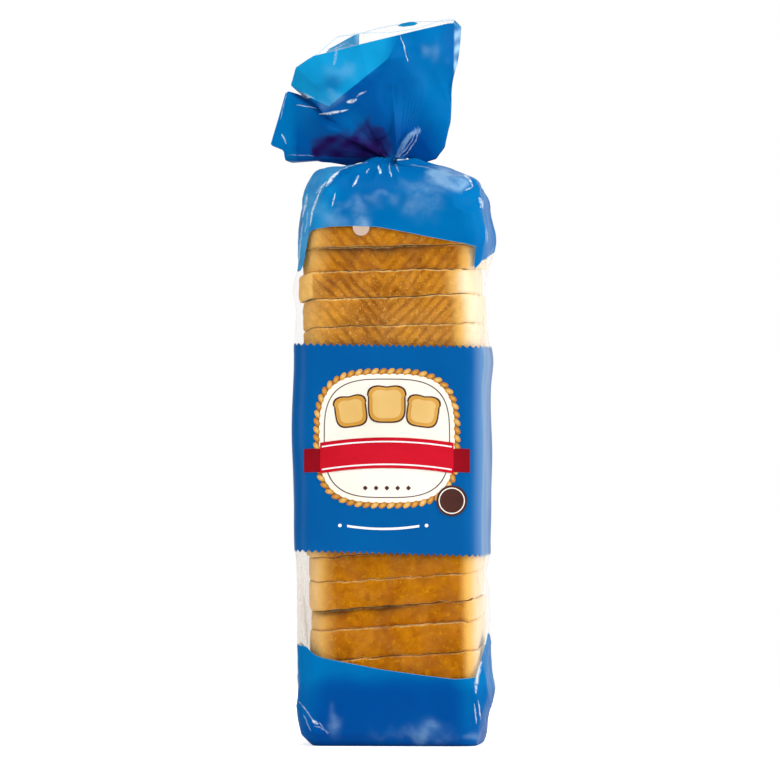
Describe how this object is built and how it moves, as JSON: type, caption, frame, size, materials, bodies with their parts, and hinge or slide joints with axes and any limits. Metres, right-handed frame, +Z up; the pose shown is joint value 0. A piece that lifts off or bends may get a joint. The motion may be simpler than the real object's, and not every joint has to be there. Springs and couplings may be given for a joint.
{
  "type": "bagged sliced loaf",
  "caption": "Square sliced loaf standing on end in a blue printed clear film bag, gathered and tied at the neck, with a flared tail above the tie.",
  "frame": {"origin": "middle of the flat base that the loaf stands on", "axes": "+Z up along the stack of slices to the tied neck, +X to the right and -Y to the front, which carries the label badge"},
  "size_m": [0.122, 0.1016, 0.4045],
  "materials": {
    "bag_film": "glossy printed film, clear in two windows",
    "tie_strip": "smooth white",
    "bread_crust": "matt golden crust, wrinkled and speckled",
    "badge_print": "glossy print on film"
  },
  "bodies": {
    "root": {"bread_bag": "bag_film", "tie": "tie_strip"}
  },
  "joints": []
}
